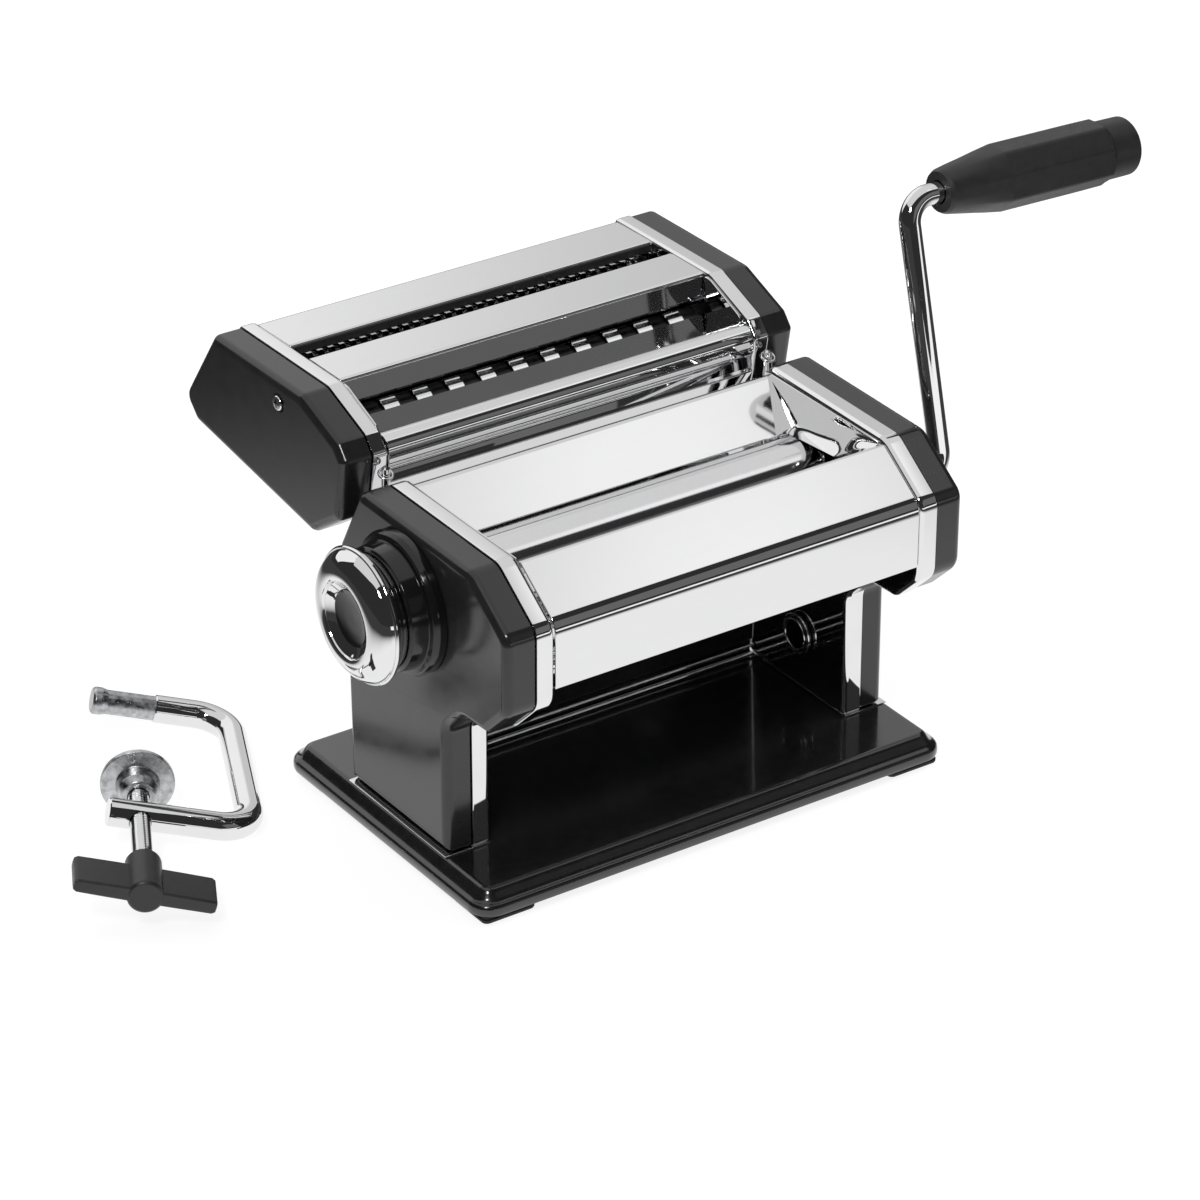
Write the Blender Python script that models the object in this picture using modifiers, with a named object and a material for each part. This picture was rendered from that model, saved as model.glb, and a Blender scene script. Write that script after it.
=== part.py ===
"""Hand-cranked pasta roller machine with a lift-off cutter head and its table clamp.

+X runs along the rollers to the crank side, +Y points back to the cutter head and
+Z is up.  The origin is on the table surface under the middle of the base plate.
"""
import bpy
import bmesh
from math import cos, pi, radians, sin, tan
from mathutils import Matrix, Vector

MM = 0.001

# ---- driving dimensions, in millimetres ----
BASE_X, BASE_Y = 200.0, 130.0
BASE_LOW, BASE_TOP = 3.0, 12.0
GAP = 0.3
SHEET = 1.0
PLATE = 1.2
WEB_IN = 76.0
FLANGE_OUT = 83.4
COVER_OUT = 95.4
COVER_WALL = 2.0
ROLLER_R = 13.5
ROLLER_HALF = 73.0
AXIS_Z = 104.0
FRONT_Y = -42.2
REAR_Y = -12.5
GAP_TRAVEL = 2.4
DIAL_Y = REAR_Y - GAP_TRAVEL / 2
CRANK_R = 3.9
CRANK_REACH = 111.0
GRIP_X0, GRIP_X1 = 125.0, 209.8
WIDE_Z, NARROW_Z = 131.0, 137.0
CUTTER_R, GROOVE_R = 9.4, 8.2
CUTTER_SPACING = 18.0
WIDE_Y = 52.0
NARROW_Y = 92.0
CELLS_WIDE, CELLS_NARROW = 22, 66
CUTTER_HALF = 74.0
HEAD_WEB_IN = 77.2
CLAMP_ROD = 5.1

# side outline of the main body as (y, z, corner radius)
BODY = [(24.6, 12.3, 1.5), (17.0, 132.8, 4.0), (-52.4, 132.2, 9.0), (-75.2, 116.2, 7.0),
        (-75.0, 86.6, 9.0), (-61.5, 73.6, 5.0), (-46.0, 73.0, 9.0), (-34.4, 62.0, 7.0),
        (-34.4, 12.3, 1.5)]
# side outline of the cutter head
HEAD = [(113.5, 153.2, 2.5), (132.5, 122.5, 5.0), (125.5, 116.6, 4.0), (48.5, 105.8, 4.0),
        (29.5, 115.5, 5.0), (25.2, 139.0, 3.0), (30.5, 145.2, 4.0), (54.0, 154.0, 8.0)]


# ---- scene and materials ----
for old in list(bpy.data.objects):
    bpy.data.objects.remove(old, do_unlink=True)


def collection(name):
    found = bpy.data.collections.get(name) or bpy.data.collections.new(name)
    if found.name not in bpy.context.scene.collection.children:
        bpy.context.scene.collection.children.link(found)
    return found


PARTS = collection("pasta_roller_machine")
CUTTERS = collection("cutting_shapes")


def material(name, colour, roughness, metallic):
    mat = bpy.data.materials.new(name)
    mat.use_nodes = True
    shader = mat.node_tree.nodes["Principled BSDF"]
    shader.inputs["Base Color"].default_value = (*colour, 1.0)
    shader.inputs["Roughness"].default_value = roughness
    shader.inputs["Metallic"].default_value = metallic
    return mat


CHROME = ("chrome", (0.80, 0.81, 0.83), 0.08, 1.0)
STEEL = ("steel", (0.62, 0.63, 0.65), 0.28, 1.0)
ALLOY = ("alloy", (0.66, 0.67, 0.69), 0.35, 1.0)
GLOSS = ("gloss_black", (0.018, 0.018, 0.020), 0.18, 0.0)
PAINT = ("black_paint", (0.010, 0.010, 0.011), 0.15, 0.0)
PLASTIC = ("matte_black", (0.022, 0.022, 0.023), 0.45, 0.0)
RUBBER = ("rubber", (0.010, 0.010, 0.010), 0.80, 0.0)
ZINC = ("zinc", (0.55, 0.55, 0.57), 0.40, 1.0)


# ---- helpers ----
def finish(obj, look, smooth=30.0):
    obj.data.materials.append(material(obj.name + "_" + look[0], *look[1:]))
    for holder in list(obj.users_collection):
        holder.objects.unlink(obj)
    PARTS.objects.link(obj)
    if obj.type == "MESH":
        obj.data.shade_smooth()
        obj.data.set_sharp_from_angle(angle=radians(smooth))
    return obj


def mesh_object(name, bm, origin=(0, 0, 0)):
    mesh = bpy.data.meshes.new(name)
    bmesh.ops.recalc_face_normals(bm, faces=bm.faces)
    bm.to_mesh(mesh)
    bm.free()
    obj = bpy.data.objects.new(name, mesh)
    obj.location = Vector(origin) * MM
    PARTS.objects.link(obj)
    return obj


def rounded(points, closed=True, segments=2):
    """Replace each corner (y, z, radius) by an arc of short segments."""
    out = []
    count = len(points)
    for i, (px, py, radius) in enumerate(points):
        here = Vector((px, py))
        if not closed and i in (0, count - 1):
            out.append((px, py))
            continue
        before = (Vector(points[i - 1][:2]) - here)
        after = (Vector(points[(i + 1) % count][:2]) - here)
        angle = before.angle(after)
        if radius <= 0 or angle > radians(178):
            out.append((px, py))
            continue
        reach = min(radius / tan(angle / 2), before.length * 0.45, after.length * 0.45)
        true_r = reach * tan(angle / 2)
        centre = here + (before.normalized() + after.normalized()).normalized() * true_r / sin(angle / 2)
        start = here + before.normalized() * reach - centre
        end = here + after.normalized() * reach - centre
        sweep = start.angle_signed(end)
        for k in range(segments + 1):
            turn = -sweep * k / segments
            x = start.x * cos(turn) - start.y * sin(turn)
            y = start.x * sin(turn) + start.y * cos(turn)
            out.append((centre.x + x, centre.y + y))
    return out


def side_curve(name, outlines, x0, x1, origin=(0.0, 0.0)):
    """Flat outline in the y-z plane, filled and extruded from x0 to x1."""
    curve = bpy.data.curves.new(name, "CURVE")
    curve.dimensions = "2D"
    curve.fill_mode = "BOTH"
    curve.extrude = abs(x1 - x0) / 2 * MM
    for outline in outlines:
        spline = curve.splines.new("POLY")
        spline.points.add(len(outline) - 1)
        for point, (y, z) in zip(spline.points, outline):
            point.co = ((y - origin[0]) * MM, (z - origin[1]) * MM, 0.0, 1.0)
        spline.use_cyclic_u = True
    obj = bpy.data.objects.new(name, curve)
    obj.rotation_euler = (pi / 2, 0.0, pi / 2)
    obj.location = Vector(((x0 + x1) / 2, origin[0], origin[1])) * MM
    PARTS.objects.link(obj)
    return obj


def to_mesh(obj):
    """Turn a curve object into a welded mesh object that can be cut."""
    bpy.context.view_layer.update()
    graph = bpy.context.evaluated_depsgraph_get()
    mesh = bpy.data.meshes.new_from_object(obj.evaluated_get(graph))
    bm = bmesh.new()
    bm.from_mesh(mesh)
    bmesh.ops.remove_doubles(bm, verts=bm.verts, dist=0.00001)
    bm.to_mesh(mesh)
    bm.free()
    name = obj.name
    world = obj.matrix_world.copy()
    bpy.data.objects.remove(obj, do_unlink=True)
    new = bpy.data.objects.new(name, mesh)
    new.matrix_world = world
    PARTS.objects.link(new)
    return new


def box(name, x, y, z, bevel=0.0, segments=1):
    bm = bmesh.new()
    bmesh.ops.create_cube(bm, size=1.0)
    size = Vector((x[1] - x[0], y[1] - y[0], z[1] - z[0])) * MM
    bmesh.ops.scale(bm, vec=size, verts=bm.verts)
    centre = ((x[0] + x[1]) / 2, (y[0] + y[1]) / 2, (z[0] + z[1]) / 2)
    obj = mesh_object(name, bm, centre)
    if bevel:
        edge = obj.modifiers.new("edges", "BEVEL")
        edge.width = bevel * MM
        edge.segments = segments
    return obj


def cylinder(name, centre, radius, length, axis="X", sides=24):
    bm = bmesh.new()
    bmesh.ops.create_cone(bm, cap_ends=True, segments=sides, radius1=radius * MM,
                          radius2=radius * MM, depth=length * MM)
    turn = {"X": Matrix.Rotation(pi / 2, 3, "Y"), "Y": Matrix.Rotation(pi / 2, 3, "X"),
            "Z": Matrix.Identity(3)}[axis]
    bmesh.ops.rotate(bm, matrix=turn, verts=bm.verts)
    return mesh_object(name, bm, centre)


def cutter(obj):
    PARTS.objects.unlink(obj)
    CUTTERS.objects.link(obj)
    obj.hide_render = True
    obj.display_type = "WIRE"
    return obj


def cut(obj, tool, operation="DIFFERENCE"):
    boolean = obj.modifiers.new("cut", "BOOLEAN")
    boolean.operation = operation
    boolean.solver = "EXACT"
    boolean.object = tool
    return obj


def turned(name, profile, centre, steps=24, closed=False, direction="X"):
    """Turned shape from (along, radius) points listed from the far end to the near end."""
    bm = bmesh.new()
    verts = [bm.verts.new((r * MM, 0.0, a * MM)) for a, r in profile]
    for one, two in zip(verts, verts[1:]):
        bm.edges.new((one, two))
    if closed:
        bm.edges.new((verts[-1], verts[0]))
    mesh = bpy.data.meshes.new(name)
    bm.to_mesh(mesh)
    bm.free()
    obj = bpy.data.objects.new(name, mesh)
    obj.location = Vector(centre) * MM
    if direction == "X":
        obj.rotation_euler = (0.0, pi / 2, 0.0)
    PARTS.objects.link(obj)
    screw = obj.modifiers.new("turn", "SCREW")
    screw.steps = steps
    screw.render_steps = steps
    screw.use_merge_vertices = True
    screw.merge_threshold = 0.00001
    screw.use_smooth_shade = True
    return obj


def inset_corners(corners, amount):
    """Move every edge of a closed outline inwards; each corner keeps a fitting radius."""
    out = []
    count = len(corners)
    spots = [Vector(c[:2]) for c in corners]
    area = sum(spots[i - 1].x * spots[i].y - spots[i].x * spots[i - 1].y for i in range(count))
    way = 1.0 if area > 0 else -1.0
    for i in range(count):
        a = (spots[i] - spots[i - 1]).normalized()
        b = (spots[(i + 1) % count] - spots[i]).normalized()
        normal = Vector((-a.y, a.x)) * way
        mid = (normal + Vector((-b.y, b.x)) * way).normalized()
        place = spots[i] + mid * amount / mid.dot(normal)
        convex = (a.x * b.y - a.y * b.x) * way > 0
        radius = corners[i][2] - amount if convex else corners[i][2] + amount
        out.append((place.x, place.y, max(radius, 0.2)))
    return out


def dish(name, corners, rings):
    """Closed shell lofted through (x, inset) rings, capped by the first and the last ring."""
    bm = bmesh.new()
    loops = []
    for x, amount in rings:
        outline = rounded(inset_corners(corners, amount))
        loops.append([bm.verts.new((x * MM, y * MM, z * MM)) for y, z in outline])
    for one, two in zip(loops, loops[1:]):
        for i in range(len(one)):
            bm.faces.new((one[i - 1], one[i], two[i], two[i - 1]))
    bm.faces.new(loops[0])
    bm.faces.new(list(reversed(loops[-1])))
    return mesh_object(name, bm)


def plate_dish(name, corners, sx, web):
    inner = sx * (web + PLATE)
    return dish(name, corners, [(sx * web, 0.0), (sx * FLANGE_OUT, 0.0), (sx * FLANGE_OUT, PLATE), (inner, PLATE)])


def cover_dish(name, corners, sx):
    edge, wall = 3.2, COVER_WALL
    far = COVER_OUT
    near = FLANGE_OUT + GAP
    rings = [(far, 1.0 + edge), (far - 0.3 * edge, 1.0 + 0.3 * edge), (far - edge, 1.0), (near, 1.0),
             (near, 1.0 + wall), (far - edge, 1.0 + wall), (far - wall, 1.0 + edge)]
    return dish(name, corners, [(sx * x, d) for x, d in rings])


def sheet(name, path, x0, x1, thickness=SHEET, segments=2):
    """Folded sheet: an open path in the y-z plane, drawn along x and given a thickness."""
    points = rounded(path, closed=False, segments=segments)
    bm = bmesh.new()
    verts = [bm.verts.new((x0 * MM, y * MM, z * MM)) for y, z in points]
    edges = [bm.edges.new(pair) for pair in zip(verts, verts[1:])]
    grown = bmesh.ops.extrude_edge_only(bm, edges=edges)
    moved = [g for g in grown["geom"] if isinstance(g, bmesh.types.BMVert)]
    bmesh.ops.translate(bm, verts=moved, vec=((x1 - x0) * MM, 0, 0))
    obj = mesh_object(name, bm)
    shell = obj.modifiers.new("sheet", "SOLIDIFY")
    shell.thickness = thickness * MM
    shell.offset = 0.0
    shell.use_even_offset = True
    return obj


def rod(name, points, radius, resolution=2):
    curve = bpy.data.curves.new(name, "CURVE")
    curve.dimensions = "3D"
    curve.bevel_depth = radius * MM
    curve.bevel_resolution = resolution
    curve.use_fill_caps = True
    spline = curve.splines.new("POLY")
    spline.points.add(len(points) - 1)
    for point, place in zip(spline.points, points):
        point.co = (*(Vector(place) * MM), 1.0)
    obj = bpy.data.objects.new(name, curve)
    PARTS.objects.link(obj)
    return obj


def bend(points, radius, segments=5):
    """Round the inner corners of a 3D path."""
    out = [Vector(points[0])]
    for i in range(1, len(points) - 1):
        here = Vector(points[i])
        one = (Vector(points[i - 1]) - here).normalized()
        two = (Vector(points[i + 1]) - here).normalized()
        angle = one.angle(two)
        reach = radius / tan(angle / 2)
        centre = here + (one + two).normalized() * radius / sin(angle / 2)
        start = here + one * reach - centre
        end = here + two * reach - centre
        sweep = pi - angle
        for k in range(segments + 1):
            t = k / segments
            part = start * sin((1 - t) * sweep) + end * sin(t * sweep)
            out.append(centre + part / sin(sweep))
    out.append(Vector(points[-1]))
    return out


def gear_outline(teeth, root, tip, centre, phase):
    points = []
    for i in range(teeth):
        for part, radius in ((-0.34, root), (-0.13, tip), (0.13, tip), (0.34, root)):
            angle = 2 * pi * (i + part + phase) / teeth
            points.append((centre[0] + radius * cos(angle), centre[1] + radius * sin(angle)))
    return points


def circle(centre, radius, count=20):
    turn = [2 * pi * i / count for i in range(count)]
    return [(centre[0] + radius * cos(a), centre[1] + radius * sin(a)) for a in turn]


def gear(name, teeth, root, tip, bore, x0, x1, centre, phase):
    rims = [gear_outline(teeth, root, tip, centre, phase), circle(centre, bore, 12)]
    return finish(side_curve(name, rims, x0, x1, centre), STEEL)


def socket_gear(name, teeth, root, tip, x0, x1, centre, phase):
    """Gear with a short tube behind it that takes the end of the crank."""
    rims = [gear_outline(teeth, root, tip, centre, phase), circle(centre, 5.0, 12)]
    wheel = to_mesh(side_curve(name, rims, x0, x1, centre))
    profile = [(95.0, 4.3), (95.0, 5.7), (x0 + 0.4, 5.7), (x0 + 0.4, 4.3)]
    tube = turned(name + "_tube", profile, (0, *centre), 12, closed=True)
    cut(wheel, cutter(tube), "UNION")
    return finish(wheel, STEEL)


def ring(name, x0, x1, inner, outer, centre, look, steps=16):
    profile = [(x1, inner), (x1, outer), (x0, outer), (x0, inner)]
    return finish(turned(name, profile, (0, *centre), steps, closed=True), look)


# ---- base plate on four feet ----
def rectangle(hx, hy, radius):
    corners = [(hx, -hy, radius), (hx, hy, radius), (-hx, hy, radius), (-hx, -hy, radius)]
    return rounded(corners, segments=4)


def flat_curve(name, outline, z0, z1, bevel=0.0):
    curve = bpy.data.curves.new(name, "CURVE")
    curve.dimensions = "2D"
    curve.fill_mode = "BOTH"
    curve.extrude = (z1 - z0) / 2 * MM
    spline = curve.splines.new("POLY")
    spline.points.add(len(outline) - 1)
    for point, (x, y) in zip(spline.points, outline):
        point.co = (x * MM, y * MM, 0.0, 1.0)
    spline.use_cyclic_u = True
    obj = bpy.data.objects.new(name, curve)
    obj.location = (0.0, 0.0, (z0 + z1) / 2 * MM)
    PARTS.objects.link(obj)
    solid = to_mesh(obj)
    if bevel:
        edge = solid.modifiers.new("edges", "BEVEL")
        edge.width = bevel * MM
        edge.segments = 2
        edge.limit_method = "ANGLE"
        edge.angle_limit = radians(60)
    return solid


def build_base():
    lip = flat_curve("base_plate", rectangle(BASE_X / 2, BASE_Y / 2, 9.0), BASE_LOW, 7.5, 1.2)
    deck = flat_curve("base_deck", rectangle(BASE_X / 2 - 3.5, BASE_Y / 2 - 3.5, 7.0), 4.5, BASE_TOP, 1.8)
    hollow = box("base_hollow", (-93, 93), (-58, 58), (0.0, BASE_TOP - 1.8))
    cut(lip, cutter(deck), "UNION")
    cut(lip, cutter(hollow))
    finish(lip, PAINT)
    for side, sx in (("left", -1), ("right", 1)):
        for end, sy in (("front", -1), ("back", 1)):
            x = sorted((sx * 76.0, sx * 97.5))
            y = sorted((sy * 42.0, sy * 63.0))
            foot = box("foot_%s_%s" % (end, side), x, y, (0.0, BASE_LOW - GAP), 0.8)
            finish(foot, RUBBER)


# ---- side plates and covers ----
def build_sides():
    for side, sx in (("left", -1), ("right", 1)):
        plate = plate_dish("side_plate_" + side, BODY, sx, WEB_IN)
        window = box("window_" + side, sorted((sx * 70, sx * 80)),
                     (REAR_Y - GAP_TRAVEL - 7.4, REAR_Y + 7.4), (AXIS_Z - 8.4, AXIS_Z + 8.4))
        cut(plate, cutter(window))
        axle = cylinder("axle_hole_" + side, (sx * 76, FRONT_Y, AXIS_Z), 8.3, 12, sides=24)
        cut(plate, cutter(axle))
        if sx > 0:
            hole = cylinder("sleeve_hole_plate", (76, -7, 34.5), 6.9, 12, sides=20)
            cut(plate, cutter(hole))
        finish(plate, CHROME)
        shell = cover_dish("side_cover_" + side, BODY, sx)
        if sx > 0:
            for tag, y, z, radius in (("crank", FRONT_Y, AXIS_Z, 6.6), ("sleeve", -7, 34.5, 6.9)):
                hole = cylinder("hole_" + tag, (94, y, z), radius, 14, sides=18)
                cut(shell, cutter(hole))
        else:
            hole = cylinder("hole_dial", (-94, DIAL_Y, AXIS_Z), 4.4, 14, sides=16)
            cut(shell, cutter(hole))
        finish(shell, GLOSS)
        ring("front_bush_" + side, *sorted((sx * 75.4, sx * 82.8)), 6.5 if sx > 0 else 4.3, 8.0,
             (FRONT_Y, AXIS_Z), STEEL)


# ---- sheets of the main body ----
def build_sheets():
    half = WEB_IN - GAP
    inner = 73.9 - GAP
    finish(sheet("rear_hood", [(19.6, 88.0, 0), (16.2, 131.4, 2.2), (-4.0, 115.9, 0)], -inner, inner), CHROME)
    panel = sheet("back_panel", [(23.6, 12.6, 0), (19.4, 87.2, 0)], -half, half)
    finish(panel, GLOSS)
    hood = sheet("front_hood", [(-52.6, 127.6, 0), (-52.9, 131.0, 0.8), (-74.5, 115.8, 4.0), (-74.4, 91.4, 0)],
                 -half, half)
    finish(hood, CHROME)
    rim = [(13.5, 130.0), (-50.5, 130.0), (-50.5, 124.0)]
    for y, radius in ((FRONT_Y, ROLLER_R + 1.1), (REAR_Y, ROLLER_R + 1.4)):
        for degrees in ((118, 90, 60, 38) if y < -30 else (128, 90, 62)):
            a = radians(degrees)
            rim.append((y + radius * cos(a), AXIS_Z + radius * sin(a)))
    for side, sx in (("left", -1), ("right", 1)):
        guide = side_curve("dough_guide_" + side, [rim], *sorted((sx * 73.9, sx * 74.9)))
        finish(guide, CHROME)
    for tag, y, way in (("front", FRONT_Y, -1), ("rear", REAR_Y, 1)):
        near = y + way * (ROLLER_R + 1.8) * cos(radians(40))
        low = AXIS_Z - (ROLLER_R + 1.8) * sin(radians(40))
        path = [(near, low, 0), (near + way * 5.5, low - 6.5, 0)]
        finish(sheet("scraper_" + tag, path, -72.5, 72.5), STEEL)
    finish(cylinder("tie_rod", (0, -65.0, 97.0), 3.0, 2 * half, sides=12), STEEL)
    sleeve = [(95.1, 5.4), (95.1, 6.6), (75.7, 6.6), (75.7, 7.8), (73.6, 7.8), (73.6, 5.4)]
    finish(turned("clamp_sleeve", sleeve, (0, -7, 34.5), 20, closed=True), CHROME)
    for side, sx in (("left", -1), ("right", 1)):
        pin = [(136.0, 0.0), (136.0, 1.0), (135.2, 1.6), (121.6, 1.6), (121.6, 2.3), (117.5, 2.3),
               (117.5, 1.6), (106.0, 1.6), (106.0, 2.5), (100.0, 2.5), (100.0, 0.0)]
        finish(turned("head_rail_" + side, pin, (sx * 80.8, 22.0, 0), 12, direction="Z"), CHROME)


# ---- smooth rollers ----
def build_rollers():
    front = [(75.0, 0.0), (75.0, 4.25), (96.6, 4.25), (97.2, 4.8), (97.2, 6.2), (ROLLER_HALF, 6.2),
             (ROLLER_HALF, ROLLER_R - 0.6), (ROLLER_HALF - 0.6, ROLLER_R), (-ROLLER_HALF + 0.6, ROLLER_R),
             (-ROLLER_HALF, ROLLER_R - 0.6), (-ROLLER_HALF, 4.0), (-84.0, 4.0), (-84.0, 0.0)]
    finish(turned("front_roller", front, (0, FRONT_Y, AXIS_Z), 24), STEEL)
    rear = [(91.5, 0.0), (91.5, 4.5), (ROLLER_HALF, 4.5), (ROLLER_HALF, ROLLER_R - 0.6),
            (ROLLER_HALF - 0.6, ROLLER_R), (-ROLLER_HALF + 0.6, ROLLER_R), (-ROLLER_HALF, ROLLER_R - 0.6),
            (-ROLLER_HALF, 4.0), (-78.2, 4.0), (-78.2, 0.0)]
    finish(turned("rear_roller", rear, (0, REAR_Y, AXIS_Z), 24), STEEL)
    gear("front_gear", 12, 11.6, 15.4, 6.5, 84.6, 90.6, (FRONT_Y, AXIS_Z), 0.0)
    gear("rear_gear", 12, 11.6, 15.4, 4.8, 84.6, 90.6, (REAR_Y, AXIS_Z), 0.5)


def build_carriage():
    for side, x, bores in (("left", (-83.0, -75.3), [(-75.6, 6.2, 4.3)]),
                           ("right", (75.3, 82.6), [(79.0, 12.0, 4.8)])):
        block = box("bearing_block_" + side, x, (REAR_Y - 7.0, REAR_Y + 7.0), (AXIS_Z - 8.0, AXIS_Z + 8.0), 0.8)
        for i, (x_mid, length, radius) in enumerate(bores):
            bore = cylinder("bore_%s_%d" % (side, i), (x_mid, REAR_Y, AXIS_Z), radius, length, sides=16)
            cut(block, cutter(bore))
        if side == "left":
            yoke = box("yoke_slot", (-85.0, -79.6), (DIAL_Y + 1.2 - 1.85, DIAL_Y + 1.2 + 1.85),
                       (AXIS_Z - 3.2, AXIS_Z + 3.2))
            cut(block, cutter(yoke))
        finish(block, ALLOY)
    finish(rod("carriage_bar", [(-75.0, REAR_Y + 9.0, AXIS_Z - 14.6), (75.0, REAR_Y + 9.0, AXIS_Z - 14.6)], 2.5), STEEL)


# ---- thickness regulator ----
def build_regulator():
    collar = [(-95.7, 8.0), (-95.7, 25.6), (-99.6, 26.0), (-100.4, 25.2), (-100.8, 22.8), (-107.0, 22.2),
              (-107.8, 21.4), (-107.8, 8.0)]
    finish(turned("dial_collar", collar, (0, DIAL_Y, AXIS_Z), 24, closed=True), GLOSS)
    shaft = cylinder("dial_shaft", (-98.25, DIAL_Y, AXIS_Z), 4.0, 29.5, sides=16)
    pin = cylinder("dial_pin", (-82.4, DIAL_Y + 1.2, AXIS_Z), 1.5, 4.6, sides=12)
    cut(shaft, cutter(pin), "UNION")
    finish(shaft, STEEL)
    knob = [(-113.6, 0.0), (-113.6, 4.3), (-108.2, 4.3), (-108.2, 20.6), (-108.8, 21.4), (-112.6, 22.4),
            (-113.6, 24.2), (-114.6, 24.8), (-115.8, 24.6), (-117.4, 22.6), (-119.2, 19.0), (-120.9, 15.4),
            (-121.2, 13.2), (-120.2, 10.8), (-117.8, 9.0), (-116.4, 5.0), (-116.0, 0.0)]
    finish(turned("thickness_knob", knob, (0, DIAL_Y, AXIS_Z), 24), CHROME)


# ---- crank ----
ARM_TOP = Vector((CRANK_REACH, -17.0, 201.0))
GRIP_TILT = radians(2.0)


def build_crank():
    path = [(76.0, FRONT_Y, AXIS_Z), (CRANK_REACH, FRONT_Y, AXIS_Z), ARM_TOP,
            (GRIP_X1 - 6.0, -17.0, 201.0 - (GRIP_X1 - 6.0 - CRANK_REACH) * tan(GRIP_TILT))]
    arm = rod("crank_rod", [Vector(p) - Vector(path[0]) for p in bend(path, 9.0)], CRANK_R)
    arm.location = Vector(path[0]) * MM
    finish(arm, CHROME)
    length = (GRIP_X1 - GRIP_X0) / cos(GRIP_TILT)
    profile = [(length, 0.0), (length, 9.0), (length - 1.6, 10.4), (72.4, 10.6), (71.0, 12.0), (25.0, 12.2),
               (1.5, 8.2), (0.0, 7.4), (0.0, 4.3), (length - 3.2, 4.3), (length - 3.2, 0.0)]
    start = ARM_TOP + Vector((GRIP_X0 - CRANK_REACH, 0.0, -(GRIP_X0 - CRANK_REACH) * tan(GRIP_TILT)))
    handle = turned("crank_grip", profile, start, 16)
    handle.rotation_euler = (0.0, pi / 2 + GRIP_TILT, 0.0)
    finish(handle, PLASTIC)


# ---- cutter head ----
def comb_profile(cells, first):
    """Outline of a cutting roller: raised rings on every second cell."""
    pitch = 2 * CUTTER_HALF / cells
    points = []
    for i in range(cells - 1, -1, -1):
        if (i + first) % 2:
            low = -CUTTER_HALF + i * pitch + GAP / 2
            high = low + pitch - GAP
            points += [(high, GROOVE_R), (high, CUTTER_R), (low, CUTTER_R), (low, GROOVE_R)]
    return points


def cutting_roller(name, y, z, cells, first, driven, steps):
    body = comb_profile(cells, first)
    ends = CUTTER_HALF
    far = 84.2 if driven else 91.0
    top = [(far, 0.0), (far, 4.0), (body[0][0] if body[0][0] > ends - 0.5 else ends, 4.0)]
    if body[0][0] < ends - 0.5:
        top.append((ends, GROOVE_R))
    if body[-1][0] > -ends + 0.5:
        body.append((-ends, GROOVE_R))
    profile = top + body + [(body[-1][0], 4.0), (-84.0, 4.0), (-84.0, 0.0)]
    finish(turned(name, profile, (0, y, z), steps), STEEL)


def build_cutters():
    for tag, mid, z, cells, steps in (("wide", WIDE_Y, WIDE_Z, CELLS_WIDE, 12),
                                      ("narrow", NARROW_Y, NARROW_Z, CELLS_NARROW, 6)):
        for end, sy, first in (("front", -1, 0), ("rear", 1, 1)):
            y = mid + sy * CUTTER_SPACING / 2
            driven = end == "rear"
            cutting_roller("%s_cutter_%s" % (tag, end), y, z, cells, first, driven, steps)
            gear_name = "%s_gear_%s" % (tag, end)
            if driven:
                socket_gear(gear_name, 12, 7.7, 9.9, 84.6, 89.6, (y, z), 0.5)
            else:
                gear(gear_name, 12, 7.7, 9.9, 4.3, 84.6, 89.6, (y, z), 0.0)


def build_head():
    half = HEAD_WEB_IN - GAP
    for side, sx in (("left", -1), ("right", 1)):
        plate = plate_dish("head_plate_" + side, HEAD, sx, HEAD_WEB_IN)
        shell = cover_dish("head_cover_" + side, HEAD, sx)
        for tag, mid, z in (("wide", WIDE_Y, WIDE_Z), ("narrow", NARROW_Y, NARROW_Z)):
            for sy in (-1, 1):
                y = mid + sy * CUTTER_SPACING / 2
                hole = cylinder("hole_%s_%s_%d" % (side, tag, sy), (sx * 78, y, z), 4.4, 10, sides=16)
                cut(plate, cutter(hole))
                if sx > 0 and sy > 0:
                    socket = cylinder("socket_%s" % tag, (94, y, z), 6.0, 14, sides=16)
                    cut(shell, cutter(socket))
        bore = cylinder("screw_hole_" + side, (sx * 94, 68.0, 145.0), 1.8, 14, sides=12)
        cut(shell, cutter(bore))
        finish(plate, CHROME)
        finish(shell, GLOSS)
        screw = [(sx * 87.0, 0.0), (sx * 87.0, 1.4), (sx * 95.7, 1.4), (sx * 95.7, 2.9), (sx * 96.4, 2.5),
                 (sx * 96.6, 0.0)]
        if sx > 0:
            screw.reverse()
        finish(turned("cover_screw_" + side, screw, (0, 68.0, 145.0), 12), CHROME)
        hook = flat_ring("head_hook_" + side, (sx * 80.8, 22.0), 1.95, 2.9, 122.0, 134.0)
        finish(hook, CHROME)
    finish(sheet("head_back_sheet", [(129.6, 121.5, 0), (112.6, 152.0, 2.0), (90.5, 152.6, 0.8), (90.1, 148.0, 0)],
                 -half, half), CHROME)
    finish(sheet("head_middle_sheet", [(77.8, 148.0, 0), (77.6, 152.8, 0.8), (57.0, 153.0, 1.2), (56.2, 142.0, 0)],
                 -half, half), CHROME)
    finish(sheet("head_front_bar", [(48.8, 141.0, 0), (26.4, 142.9, 6.0), (26.2, 133.4, 0.4), (27.8, 132.0, 0.4),
                                    (29.6, 117.4, 0)], -half, half), CHROME)
    for tag, mid, z in (("wide", WIDE_Y, WIDE_Z), ("narrow", NARROW_Y, NARROW_Z)):
        finish(sheet("stripper_" + tag, [(mid - 12.0, z - 15.4, 0), (mid + 12.0, z - 13.4, 0)], -73.0, 73.0), STEEL)


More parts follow.
